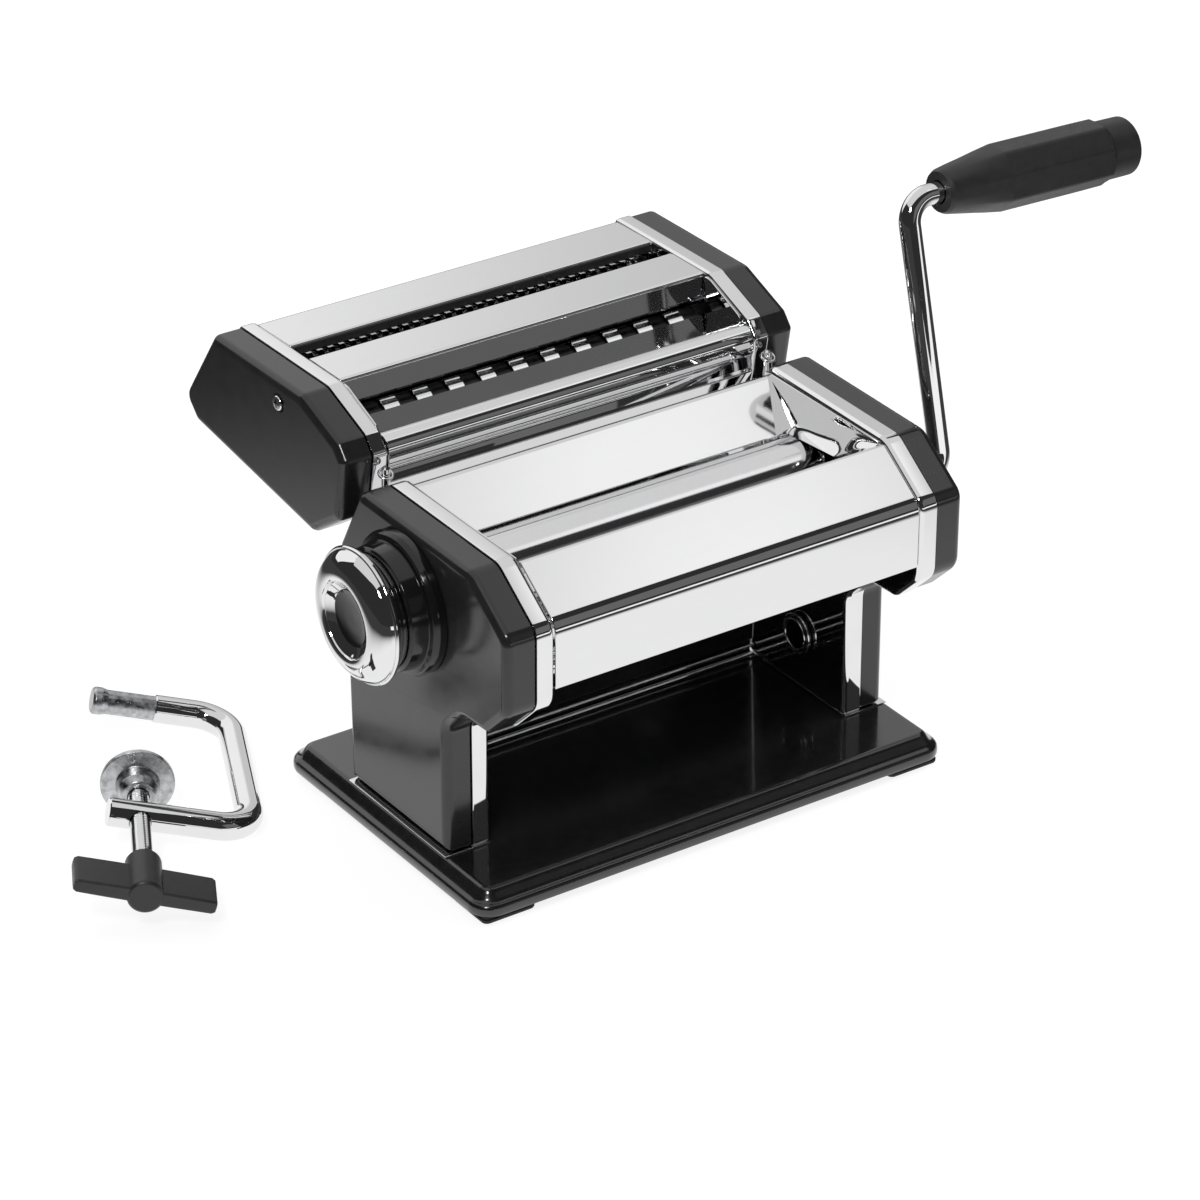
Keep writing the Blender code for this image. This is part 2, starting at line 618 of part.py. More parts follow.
def flat_ring(name, centre, inner, outer, z0, z1):
    profile = [(z1, inner), (z1, outer), (z0, outer), (z0, inner)]
    return turned(name, profile, (*centre, 0), 14, closed=True, direction="Z")


# ---- table clamp, lying on the table beside the machine ----
CLAMP_CORNER = Vector((-102.2, 99.9, 5.2))
LEG_WAY = Vector((-0.4146, -0.91, 0.0)).normalized()
SCREW_WAY = Vector((-0.465, -0.885, 0.0)).normalized()
ARM_RISE = radians(14.5)
ARM_WAY = Vector((LEG_WAY.y * cos(ARM_RISE), -LEG_WAY.x * cos(ARM_RISE), sin(ARM_RISE)))
CLAMP_SPAN = 79.0
ARM_LENGTH = 51.0
LOW_ARM = 52.0
SCREW_AT = 40.6
TURNED_END = 23.0
SPINDLE_R = 3.7


def along_screw(name, profile, crossing, steps=20):
    piece = turned(name, profile, crossing, steps, direction="Z")
    piece.rotation_euler = SCREW_WAY.to_track_quat("Z", "Y").to_euler()
    return piece


def build_clamp():
    low_corner = CLAMP_CORNER + LEG_WAY * CLAMP_SPAN
    shoulder = CLAMP_CORNER + ARM_WAY * (ARM_LENGTH - TURNED_END)
    path = [shoulder, CLAMP_CORNER, low_corner, low_corner + ARM_WAY * LOW_ARM]
    frame = to_mesh(rod("clamp_frame", bend(path, 13.0), CLAMP_ROD, 3))
    crossing = low_corner + ARM_WAY * SCREW_AT
    drill = cylinder("spindle_hole", crossing, SPINDLE_R + GAP, 16, "Z", 16)
    drill.rotation_euler = SCREW_WAY.to_track_quat("Z", "Y").to_euler()
    cut(frame, cutter(drill))
    end = [(TURNED_END, 0.0), (TURNED_END, 4.4), (TURNED_END - 0.8, 5.0), (TURNED_END - 3.4, 5.0),
           (TURNED_END - 5.4, 4.5), (-4.0, 4.5), (-4.0, 0.0)]
    plain = turned("turned_end", end, shoulder, 16, direction="Z")
    plain.rotation_euler = ARM_WAY.to_track_quat("Z", "Y").to_euler()
    cut(frame, cutter(plain), "UNION")
    finish(frame, CHROME)
    spindle = [(47.0, 0.0), (47.0, SPINDLE_R - 0.4), (46.6, SPINDLE_R), (-16.4, SPINDLE_R), (-16.4, 0.0)]
    finish(along_screw("clamp_spindle", spindle, crossing), CHROME)
    pad = [(-16.7, 0.0), (-16.7, 4.0), (-12.5, 4.0), (-12.5, 6.0), (-16.5, 7.6), (-20.6, 7.6), (-21.2, 13.2),
           (-23.4, 13.2), (-23.4, 0.0)]
    finish(along_screw("clamp_pad", pad, crossing, 24), ZINC)
    build_wing(crossing)


def build_wing(crossing):
    """Winged handle: an outline across the spindle, with a round boss that takes the spindle."""
    outline = [(25.0, -2.0), (25.0, 2.0), (24.0, 2.8), (-24.0, 2.8), (-25.0, 2.0), (-25.0, -2.0), (-24.0, -2.8),
               (24.0, -2.8)]
    curve = bpy.data.curves.new("clamp_handle", "CURVE")
    curve.dimensions = "2D"
    curve.fill_mode = "BOTH"
    curve.extrude = 7.0 * MM
    spline = curve.splines.new("POLY")
    spline.points.add(len(outline) - 1)
    for point, (x, y) in zip(spline.points, outline):
        point.co = (x * MM, y * MM, 0.0, 1.0)
    spline.use_cyclic_u = True
    obj = bpy.data.objects.new("clamp_handle", curve)
    PARTS.objects.link(obj)
    obj.matrix_world = wing_matrix(crossing)
    wing = to_mesh(obj)
    boss = [(54.0, 0.0), (54.0, 5.4), (53.0, 6.4), (32.0, 6.4), (32.0, 0.0)]
    cut(wing, cutter(along_screw("handle_boss", boss, crossing)), "UNION")
    bore = [(47.3, 0.0), (47.3, SPINDLE_R + GAP), (30.0, SPINDLE_R + GAP), (30.0, 0.0)]
    cut(wing, cutter(along_screw("handle_bore", bore, crossing, 16)))
    finish(wing, PLASTIC)


def wing_matrix(crossing):
    """Wing along x, its thickness along y, the spindle along z."""
    across = SCREW_WAY.cross(Vector((0, 0, 1))).normalized()
    if across.x < 0:
        across = -across
    tilt = Matrix.Rotation(radians(15.0), 3, SCREW_WAY)
    along = tilt @ across
    if along.z > 0:
        along = tilt.inverted() @ across
    up = SCREW_WAY.cross(along).normalized()
    matrix = Matrix((along, up, SCREW_WAY)).transposed().to_4x4()
    matrix.translation = (crossing + SCREW_WAY * 45.5) * MM
    return matrix


build_base()
build_sides()
build_sheets()
build_rollers()
build_carriage()
build_regulator()
build_crank()
build_cutters()
build_head()
build_clamp()
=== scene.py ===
"""Looks of the pasta roller machine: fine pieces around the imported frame, a pale floor and soft studio light.

Lengths are in millimetres up to the mesh, where they turn into metres.
+X runs along the rollers to the crank, +Y back to the cutter head, +Z up.
"""
import bpy
import bmesh
from math import cos, pi, radians, sin, tan
from mathutils import Matrix, Vector


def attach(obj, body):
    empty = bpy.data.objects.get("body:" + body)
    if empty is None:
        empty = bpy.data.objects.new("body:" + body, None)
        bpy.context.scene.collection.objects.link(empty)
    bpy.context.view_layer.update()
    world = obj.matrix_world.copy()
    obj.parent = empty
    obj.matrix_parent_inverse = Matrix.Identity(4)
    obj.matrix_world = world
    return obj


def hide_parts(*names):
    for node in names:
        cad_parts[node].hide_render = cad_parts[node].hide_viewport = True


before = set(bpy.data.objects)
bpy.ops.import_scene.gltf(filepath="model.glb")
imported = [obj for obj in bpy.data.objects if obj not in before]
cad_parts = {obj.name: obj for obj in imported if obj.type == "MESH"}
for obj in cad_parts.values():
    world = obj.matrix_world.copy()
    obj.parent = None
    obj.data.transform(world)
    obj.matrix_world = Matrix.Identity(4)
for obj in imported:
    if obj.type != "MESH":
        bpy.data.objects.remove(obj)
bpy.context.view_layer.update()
MM = 0.001
SIDES = (("left", -1), ("right", 1))

# ---- driving dimensions, as in the frame ----
WEB_IN, PLATE, FLANGE_OUT, COVER_OUT = 76.0, 1.2, 83.4, 95.4
HEAD_WEB_IN = 77.2
ROLLER_R, AXIS_Z, FRONT_Y, REAR_Y = 13.5, 104.0, -42.2, -12.5
DIAL_Y = -13.7
SLEEVE = (-7.0, 34.5)
WIDE, NARROW = (52.0, 131.0, 22), (92.0, 137.0, 66)
BODY = [(24.6, 12.3, 1.5), (17.0, 132.8, 4.0), (-52.4, 132.2, 9.0), (-75.2, 116.2, 7.0),
        (-75.0, 86.6, 9.0), (-61.5, 73.6, 5.0), (-46.0, 73.0, 9.0), (-34.4, 62.0, 7.0),
        (-34.4, 12.3, 1.5)]
HEAD_TOP = [(25.2, 139.0, 3.0), (30.5, 145.2, 4.0), (54.0, 154.0, 8.0)]
HEAD = [(113.5, 153.2, 2.5), (132.5, 122.5, 5.0), (125.5, 116.6, 4.0), (48.5, 105.8, 4.0),
        (29.5, 115.5, 5.0)] + HEAD_TOP
# The moulded covers stand a little further back and down than the chromed plates behind them.
BODY_COVER = [(29.6, 12.3, 1.5), (31.5, 106.5, 6.0)] + BODY[1:]
HEAD_COVER = [(113.5, 153.2, 2.5), (136.0, 121.0, 6.0), (127.5, 112.3, 5.0), (48.5, 101.6, 5.0),
              (29.5, 114.5, 5.0)] + HEAD_TOP
LEG_STEP = ((-34.4, 70.0), (24.6, 60.0))
HEAD_SCREW = (68.0, 145.0)
CUTTER_HALF_GAP, CUTTER_CREST, CUTTER_ROOT, JOURNAL_R = 9.0, 9.35, 8.2, 4.0


# ---- materials ----
def surface(name, colour, rough, metallic, scale=60.0, stretch=(1, 1, 1), spread=0.05, rough_spread=0.03,
            bump_scale=400.0, bump=0.0, coat=0.0, coat_rough=0.03, specular=0.5):
    """Principled surface whose colour, roughness and fine relief come from noise in object space."""
    mat = bpy.data.materials.new(name)
    mat.use_nodes = True
    tree = mat.node_tree
    shader = tree.nodes["Principled BSDF"]
    shader.inputs["Metallic"].default_value = metallic
    shader.inputs["Coat Weight"].default_value = coat
    shader.inputs["Coat Roughness"].default_value = coat_rough
    shader.inputs["Specular IOR Level"].default_value = specular
    place = tree.nodes.new("ShaderNodeTexCoord")
    mapping = tree.nodes.new("ShaderNodeMapping")
    mapping.inputs["Scale"].default_value = stretch
    tree.links.new(place.outputs["Object"], mapping.inputs["Vector"])
    noise = tree.nodes.new("ShaderNodeTexNoise")
    noise.inputs["Scale"].default_value = scale
    noise.inputs["Detail"].default_value = 6.0
    tree.links.new(mapping.outputs["Vector"], noise.inputs["Vector"])
    ramp = tree.nodes.new("ShaderNodeValToRGB")
    ramp.color_ramp.elements[0].position = 0.3
    ramp.color_ramp.elements[1].position = 0.7
    ramp.color_ramp.elements[0].color = (*[c * (1 - spread) for c in colour], 1)
    ramp.color_ramp.elements[1].color = (*[min(c * (1 + spread), 1) for c in colour], 1)
    tree.links.new(noise.outputs["Fac"], ramp.inputs["Fac"])
    tree.links.new(ramp.outputs["Color"], shader.inputs["Base Color"])
    span = tree.nodes.new("ShaderNodeMapRange")
    span.inputs["From Min"].default_value = 0.3
    span.inputs["From Max"].default_value = 0.7
    span.inputs["To Min"].default_value = max(rough - rough_spread, 0.0)
    span.inputs["To Max"].default_value = rough + rough_spread
    tree.links.new(noise.outputs["Fac"], span.inputs["Value"])
    tree.links.new(span.outputs["Result"], shader.inputs["Roughness"])
    grain = tree.nodes.new("ShaderNodeTexNoise")
    grain.inputs["Scale"].default_value = bump_scale
    grain.inputs["Detail"].default_value = 2.0
    tree.links.new(mapping.outputs["Vector"], grain.inputs["Vector"])
    relief = tree.nodes.new("ShaderNodeBump")
    relief.inputs["Strength"].default_value = 1.0
    relief.inputs["Distance"].default_value = bump
    tree.links.new(grain.outputs["Fac"], relief.inputs["Height"])
    tree.links.new(relief.outputs["Normal"], shader.inputs["Normal"])
    return mat


CHROME = surface("polished_chrome", (0.80, 0.80, 0.805), 0.030, 1.0, 90, spread=0.015, rough_spread=0.02,
                 bump_scale=55, bump=0.000012)
SHEET = surface("chromed_sheet", (0.80, 0.80, 0.805), 0.045, 1.0, 60, (1, 6, 6), 0.006, 0.006,
                bump_scale=12, bump=0.000004)
# Near-black metal for the cutters' grooves and ring flanks: painted shade in the deep grooves.
GROOVE_SHADE = surface("painted_groove_shade", (0.045, 0.045, 0.048), 0.35, 1.0, 420, spread=0.2,
                 bump_scale=900, bump=0.000003)
STEEL = surface("turned_steel", (0.80, 0.80, 0.81), 0.10, 1.0, 420, (9, 1, 1), 0.03, 0.03,
                bump_scale=900, bump=0.000002)
ALLOY = surface("cast_alloy", (0.60, 0.60, 0.62), 0.38, 1.0, 500, spread=0.1, bump_scale=900, bump=0.00001)
COVER = surface("gloss_plastic", (0.020, 0.020, 0.0215), 0.17, 0.0, 150, spread=0.12, rough_spread=0.03,
                bump_scale=2600, bump=0.000002, specular=0.62)
COVER_GLOSS = surface("gloss_plastic_polished", (0.009, 0.009, 0.010), 0.10, 0.0, 150, spread=0.12,
                      rough_spread=0.03, bump_scale=2600, bump=0.000002)
ENAMEL = surface("black_enamel", (0.012, 0.012, 0.0125), 0.20, 0.0, 240, spread=0.2, rough_spread=0.04,
                 bump_scale=430, bump=0.000022, coat=0.8, coat_rough=0.07)
MATTE = surface("matte_plastic", (0.024, 0.024, 0.0255), 0.42, 0.0, 300, spread=0.12, rough_spread=0.05,
                bump_scale=3600, bump=0.000007)
RUBBER = surface("foot_rubber", (0.010, 0.010, 0.010), 0.75, 0.0, 400, spread=0.2,
                 bump_scale=1800, bump=0.00002)
ZINC = surface("zinc_plate", (0.50, 0.505, 0.52), 0.30, 1.0, 420, spread=0.38, rough_spread=0.12,
               bump_scale=700, bump=0.00003)


# ---- outlines and meshes ----
def rounded(points, closed=True, segments=8):
    """Replace each corner (u, v, radius) by an arc of short segments."""
    out = []
    count = len(points)
    for i, point in enumerate(points):
        here = Vector(point[:2])
        radius = point[2] if len(point) > 2 else 0
        if radius <= 0 or (not closed and i in (0, count - 1)):
            out.append(tuple(here))
            continue
        before = Vector(points[i - 1][:2]) - here
        after = Vector(points[(i + 1) % count][:2]) - here
        angle = before.angle(after)
        if angle > radians(178):
            out.append(tuple(here))
            continue
        reach = min(radius / tan(angle / 2), before.length * 0.49, after.length * 0.49)
        true_r = reach * tan(angle / 2)
        centre = here + (before.normalized() + after.normalized()).normalized() * true_r / sin(angle / 2)
        start = here + before.normalized() * reach - centre
        sweep = start.angle_signed(here + after.normalized() * reach - centre)
        for k in range(segments + 1):
            turn = -sweep * k / segments
            out.append((centre.x + start.x * cos(turn) - start.y * sin(turn),
                        centre.y + start.x * sin(turn) + start.y * cos(turn)))
    return out


def flowing(points, steps):
    """Smooth curve through the given points."""
    out = []
    ends = [points[0]] + list(points) + [points[-1]]
    for p0, p1, p2, p3 in zip(ends, ends[1:], ends[2:], ends[3:]):
        for k in range(steps):
            t = k / steps
            out.append(tuple(0.5 * (2 * b + (c - a) * t + (2 * a - 5 * b + 4 * c - d) * t * t
                                    + (3 * b - a - 3 * c + d) * t ** 3)
                             for a, b, c, d in zip(p0, p1, p2, p3)))
    out.append(tuple(points[-1]))
    return out


def inset_corners(corners, amount):
    """Move every edge of a closed outline inwards; each corner keeps a fitting radius."""
    out = []
    count = len(corners)
    spots = [Vector(c[:2]) for c in corners]
    area = sum(spots[i - 1].x * spots[i].y - spots[i].x * spots[i - 1].y for i in range(count))
    way = 1.0 if area > 0 else -1.0
    for i in range(count):
        a = (spots[i] - spots[i - 1]).normalized()
        b = (spots[(i + 1) % count] - spots[i]).normalized()
        normal = Vector((-a.y, a.x)) * way
        mid = (normal + Vector((-b.y, b.x)) * way).normalized()
        place = spots[i] + mid * amount / mid.dot(normal)
        convex = (a.x * b.y - a.y * b.x) * way > 0
        radius = corners[i][2] - amount if convex else corners[i][2] + amount
        out.append((place.x, place.y, max(radius, 0.2)))
    return out


def made(name, bm, smooth=32.0):
    """Mesh object in the row frame from a mesh built in millimetres."""
    bmesh.ops.scale(bm, vec=(MM, MM, MM), verts=bm.verts)
    bmesh.ops.recalc_face_normals(bm, faces=bm.faces)
    mesh = bpy.data.meshes.new(name)
    bm.to_mesh(mesh)
    bm.free()
    mesh.shade_smooth()
    mesh.set_sharp_from_angle(angle=radians(smooth))
    obj = bpy.data.objects.new(name, mesh)
    bpy.context.scene.collection.objects.link(obj)
    return obj


def loft(name, loops, smooth=32.0, ring=False):
    """Closed skin through loops of equally many points, capped at both ends or closed into a ring."""
    bm = bmesh.new()
    rows = [[bm.verts.new(p) for p in loop] for loop in loops]
    pairs = list(zip(rows, rows[1:])) + ([(rows[-1], rows[0])] if ring else [])
    for one, two in pairs:
        for i in range(len(one)):
            bm.faces.new((one[i - 1], one[i], two[i], two[i - 1]))
    if not ring:
        bm.faces.new(rows[0])
        bm.faces.new(list(reversed(rows[-1])))
    return made(name, bm, smooth)


def side_loft(name, corners, rings, sx, smooth=32.0):
    """Shell through (x, inset) rings of one outline in the y-z plane."""
    loops = []
    for x, amount in rings:
        loops.append([(sx * x, y, z) for y, z in rounded(inset_corners(corners, amount))])
    return loft(name, loops, smooth)


def basis(way):
    """Matrix whose third column is the direction way."""
    return Vector(way).normalized().to_track_quat("Z", "Y").to_matrix()


def lathe(name, profile, spot, way=(1, 0, 0), steps=96, ring=False, smooth=32.0, segments=5, shape=None):
    """Turned piece from (along, radius, fillet) points. shape(along, turn) may scale the radius."""
    points = rounded([p if len(p) > 2 else (*p, 0.0) for p in profile], closed=ring, segments=segments)
    turn = basis(way)
    bm = bmesh.new()
    rows = []
    for a, r in points:
        if r < 1e-6:
            rows.append([bm.verts.new(Vector(spot) + turn @ Vector((0, 0, a)))])
            continue
        row = []
        for k in range(steps):
            t = 2 * pi * k / steps
            real = r * (shape(a, t) if shape else 1.0)
            row.append(bm.verts.new(Vector(spot) + turn @ Vector((real * cos(t), real * sin(t), a))))
        rows.append(row)
    pairs = list(zip(rows, rows[1:])) + ([(rows[-1], rows[0])] if ring else [])
    for one, two in pairs:
        if len(one) == 1 and len(two) == 1:
            continue
        for k in range(steps):
            n = (k + 1) % steps
            if len(one) == 1:
                bm.faces.new((one[0], two[n], two[k]))
            elif len(two) == 1:
                bm.faces.new((one[k], one[n], two[0]))
            else:
                bm.faces.new((one[k], one[n], two[n], two[k]))
    return made(name, bm, smooth)


def thick_path(path, thickness, segments):
    """Closed cross-section of a folded sheet from an open path with rounded corners."""
    points = [Vector(p) for p in rounded(path, closed=False, segments=segments)]
    normals = []
    for i in range(len(points)):
        one = points[max(i, 1)] - points[max(i, 1) - 1]
        two = points[min(i + 1, len(points) - 1)] - points[min(i + 1, len(points) - 1) - 1]
        a, b = Vector((-one.y, one.x)).normalized(), Vector((-two.y, two.x)).normalized()
        mid = (a + b).normalized()
        normals.append(mid / max(mid.dot(a), 0.3))
    half = thickness / 2
    return ([p + n * half for p, n in zip(points, normals)]
            + [p - n * half for p, n in reversed(list(zip(points, normals)))])


def folded(name, path, half, segments=8):
    """Sheet folded along x from -half to half, with fine broken edges."""
    outline = thick_path(path, 0.8, segments)
    obj = loft(name, [[(x, p.x, p.y) for p in outline] for x in (-half, half)])
    soften(obj, 0.22, 2)
    return obj


def soften(obj, width, segments):
    """Break the sharp edges."""
    bevel = obj.modifiers.new("edges", "BEVEL")
    bevel.width = width * MM
    bevel.segments = segments
    bevel.limit_method = "ANGLE"
    bevel.angle_limit = radians(50)
    weigh(obj)


def weigh(obj):
    """Let the large faces set the shading next to the broken edges."""
    even = obj.modifiers.new("even_normals", "WEIGHTED_NORMAL")
    even.keep_sharp = True
    even.weight = 80


def drill(obj, centre, radius, depth, way=(1, 0, 0)):
    """Cut a round hole."""
    half = depth / 2
    tool = lathe("drill", [(-half, 0), (-half, radius), (half, radius), (half, 0)], centre, way, 48)
    carve(obj, tool)


def carve(obj, tool):
    """Take the tool's shape out of the mesh, and the tool out of the scene."""
    cut = obj.modifiers.new("cut", "BOOLEAN")
    cut.operation = "DIFFERENCE"
    cut.solver = "EXACT"
    cut.object = tool
    bpy.context.view_layer.update()
    graph = bpy.context.evaluated_depsgraph_get()
    mesh = bpy.data.meshes.new_from_object(obj.evaluated_get(graph))
    obj.modifiers.clear()
    obj.data = mesh
    obj.data.shade_smooth()
    obj.data.set_sharp_from_angle(angle=radians(32))
    bpy.data.objects.remove(tool, do_unlink=True)


def block(name, x, y, z, edge):
    """Box between two limits on each axis, with broken edges."""
    bm = bmesh.new()
    bmesh.ops.create_cube(bm, size=1.0)
    bmesh.ops.scale(bm, vec=(x[1] - x[0], y[1] - y[0], z[1] - z[0]), verts=bm.verts)
    bmesh.ops.translate(bm, vec=((x[0] + x[1]) / 2, (y[0] + y[1]) / 2, (z[0] + z[1]) / 2), verts=bm.verts)
    obj = made(name, bm)
    soften(obj, edge, 1)
    return obj


def bend(points, radius, segments=14):
    """Round the inner corners of a 3D path."""
    out = [Vector(points[0])]
    for i in range(1, len(points) - 1):
        here = Vector(points[i])
        one = (Vector(points[i - 1]) - here).normalized()
        two = (Vector(points[i + 1]) - here).normalized()
        angle = one.angle(two)
        reach = radius / tan(angle / 2)
        centre = here + (one + two).normalized() * radius / sin(angle / 2)
        start, end = here + one * reach - centre, here + two * reach - centre
        sweep = pi - angle
        for k in range(segments + 1):
            t = k / segments
            out.append(centre + (start * sin((1 - t) * sweep) + end * sin(t * sweep)) / sin(sweep))
    out.append(Vector(points[-1]))
    return out


def swept(name, points, radius, sides=40, ends=0.5, closed=False):
    """Round bar along a path, with softly broken ends unless it is closed."""
    path = [Vector(p) for p in points]
    radii = [radius] * len(path)
    if not closed:
        for tip, step in ((0, 1), (-1, -2)):
            way = (path[step] - path[tip]).normalized()
            inner = path[tip] + way * ends
            if tip == 0:
                path.insert(1, inner)
                radii[0] = radius - ends
                radii.insert(1, radius)
            else:
                path.insert(-1, inner)
                radii[-1] = radius - ends
                radii.insert(-1, radius)
    count = len(path)
    up = (path[1] - path[0]).orthogonal().normalized()
    loops = []
    for i in range(count):
        before = path[i] - path[i - 1] if (i or closed) else path[1] - path[0]
        after = path[(i + 1) % count] - path[i] if (i < count - 1 or closed) else before
        way = (before.normalized() + after.normalized()).normalized()
        up = (up - way * up.dot(way)).normalized()
        side = way.cross(up)
        loops.append([path[i] + (up * cos(t) + side * sin(t)) * radii[i]
                      for t in (2 * pi * k / sides for k in range(sides))])
    return loft(name, loops, ring=closed)


# ---- pieces on their bodies ----
def piece(obj, body, slot, mat, *nodes):
    """Give a piece its material and its body, and hide the CAD nodes that it stands for; the slot argument is
    not used.
    """
    obj.data.materials.clear()
    obj.data.materials.append(mat)
    if not obj.modifiers:
        weigh(obj)
    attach(obj, body)
    if nodes:
        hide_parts(*nodes)
    return obj


def dress(mat, *nodes):
    """Better material on CAD nodes whose shape is right."""
    for node in nodes:
        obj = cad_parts[node]
        for slot in obj.material_slots:
            slot.material = mat


# ---- base plate and feet ----
def flat_loft(name, hx, hy, radius, rings):
    """Skin through (inset, z) rings of a rectangle with round corners."""
    loops = []
    for amount, z in rings:
        r = max(radius - amount, 0.6)
        corners = [(hx - amount, -hy + amount, r), (hx - amount, hy - amount, r),
                   (-hx + amount, hy - amount, r), (-hx + amount, -hy + amount, r)]
        loops.append([(x, y, z) for x, y in rounded(corners, segments=14)])
    return loft(name, loops, 40)


def build_base():
    over = [(1.4, 3.5), (0.9, 3.05), (0.25, 3.3), (0.0, 4.0), (0.0, 5.2), (0.15, 6.3), (0.7, 7.1),
            (1.5, 7.5), (2.3, 7.9), (3.1, 8.8), (3.9, 10.0), (4.7, 11.0), (5.6, 11.7), (6.8, 12.0)]
    under = [(8.4, 10.4), (6.4, 9.8), (5.4, 8.6), (4.4, 6.4), (2.4, 5.6), (1.8, 4.4)]
    plate = flat_loft("base_tray", 100.0, 65.0, 9.0, under + over)
    piece(plate, "frame", "black_paint", ENAMEL, "base_plate")
    for side, sx in SIDES:
        for end, sy in (("front", -1), ("back", 1)):
            foot = flat_loft("rubber_foot_%s_%s" % (end, side), 10.75, 10.5, 2.4,
                             [(0.9, 0.0), (0.3, 0.2), (0.0, 0.7), (0.0, 1.5), (0.5, 1.6), (0.5, 2.7)])
            foot.data.transform(Matrix.Translation(Vector((sx * 86.75, sy * 52.5, 0)) * MM))
            piece(foot, "frame", "rubber", RUBBER, "foot_%s_%s" % (end, side))


# ---- side plates, covers and their screws ----
def plate_shell(name, corners, sx, web, bend_r):
    """Pressed plate: a web with a flange turned outwards, softly bent where they meet."""
    arc = [(web + bend_r * (1 - cos(t)), bend_r * (1 - sin(t))) for t in (radians(18 * k) for k in range(6))]
    rim = FLANGE_OUT - 0.45
    rings = arc + [(rim, 0.0), (FLANGE_OUT - 0.1, 0.12), (FLANGE_OUT, 0.5), (FLANGE_OUT - 0.1, 1.0),
                   (rim, 1.15), (web + bend_r + 0.4, 1.15), (web + PLATE, bend_r + 0.6)]
    return side_loft(name, corners, rings, sx)


def cover_shell(name, corners, sx, step=False):
    """Moulded cover: a full wall with a generous round to its face, hollow behind."""
    edge, near = 3.4, FLANGE_OUT + 0.3
    arc = [(COVER_OUT - edge * (1 - sin(t)), 0.6 + edge * (1 - cos(t)))
           for t in (radians(11.25 * k) for k in range(9))]
    rings = [(COVER_OUT - 2.2, 2.9 + edge), (COVER_OUT - 3.2, 3.4), (near + 0.2, 2.6), (near, 2.4),
             (near, 0.85), (near + 0.25, 0.6)] + arc
    shell = side_loft(name, corners, rings, sx, smooth=50)
    if step:
        recess(shell, sx)
    return shell


def recess(obj, sx):
    """Set the leg's face back below a line that falls to the rear."""
    depth, ramp = 1.5, 1.4
    (y0, z0), (y1, z1) = LEG_STEP
    normal = Vector((0, z0 - z1, y1 - y0)).normalized()
    bm = bmesh.new()
    bm.from_mesh(obj.data)
    for k in range(3):
        spot = Vector((0, y0, z0)) + normal * (k - 2) * 0.7
        bmesh.ops.bisect_plane(bm, geom=bm.verts[:] + bm.edges[:] + bm.faces[:],
                               plane_co=spot * MM, plane_no=normal)
    for v in bm.verts:
        here = v.co / MM
        below = -(here - Vector((0, y0, z0))).dot(normal)
        if below > 0 and abs(here.x) > FLANGE_OUT + 4:
            v.co.x -= sx * depth * MM * min(below / ramp, 1.0)
    bm.to_mesh(obj.data)
    bm.free()
    obj.data.shade_smooth()
    obj.data.set_sharp_from_angle(angle=radians(38))


def build_sides():
    for side, sx in SIDES:
        plate = plate_shell("end_plate_" + side, BODY, sx, WEB_IN, 2.2)
        if sx > 0:
            drill(plate, (76, *SLEEVE), 6.9, 12)
        piece(plate, "frame", "chrome", CHROME, "side_plate_" + side)
        shell = cover_shell("end_cover_" + side, BODY_COVER, sx, step=True)
        if sx > 0:
            drill(shell, (94, FRONT_Y, AXIS_Z), 6.6, 14)
            drill(shell, (94, *SLEEVE), 6.9, 14)
        piece(shell, "frame", "gloss_black", COVER, "side_cover_" + side)
        ends = sorted((sx * 76.6, sx * 95.0))
        foot = block("plate_foot_" + side, ends, (-34.7, 28.4), (12.02, 12.45), 0.12)
        piece(foot, "frame", "chrome", CHROME)


# ---- sheets of the main body ----
def guide_plate(name, sx):
    """End guide of the hopper: flat above an arch, and curled in over the rollers below it."""
    crest = flowing([(-5.0, 119.6), (-10.0, 122.4), (-20.0, 127.0), (-32.0, 130.2), (-50.8, 130.6)], 8)
    foot = [(-3.8, 117.0), (-34.0, 119.6), (-50.8, 128.4)]
    top = (16.2, 130.9)
    columns, rows, curl = len(crest) - 1, 10, 7.0
    web, whole = 75.3, pi / 2 * 0.92
    bm = bmesh.new()
    grids = []
    for face in (0.0, 0.5):
        grid = []
        for i, (y1, z1) in enumerate(crest):
            t = i / columns
            y2 = foot[0][0] + (foot[-1][0] - foot[0][0]) * t
            (ya, za), (yb, zb) = foot[1:] if y2 <= foot[1][0] else foot[:2]
            z2 = za + (zb - za) * (y2 - ya) / (yb - ya)
            line = [bm.verts.new((sx * (web + face), top[0] + (foot[-1][0] - top[0]) * t, top[1]))]
            line.append(bm.verts.new((sx * (web + face), y1, min(z1, top[1]))))
            for j in range(1, rows + 1):
                turn = whole * j / rows
                x = web - curl * (1 - cos(turn)) + face
                drop = sin(turn) / sin(whole)
                line.append(bm.verts.new((sx * x, y1 + (y2 - y1) * drop, z1 + (z2 - z1) * drop)))
            grid.append(line)
        grids.append(grid)
    deep = rows + 1
    for grid in grids:
        for i in range(columns):
            for j in range(deep):
                bm.faces.new((grid[i][j], grid[i + 1][j], grid[i + 1][j + 1], grid[i][j + 1]))
    near, far = grids
    rim = ([(i, 0) for i in range(columns)] + [(columns, j) for j in range(deep)]
           + [(i, deep) for i in range(columns, 0, -1)] + [(0, j) for j in range(deep, 0, -1)])
    for (i, j), (m, n) in zip(rim, rim[1:] + rim[:1]):
        bm.faces.new((near[i][j], near[m][n], far[m][n], far[i][j]))
    return made(name, bm, 30)


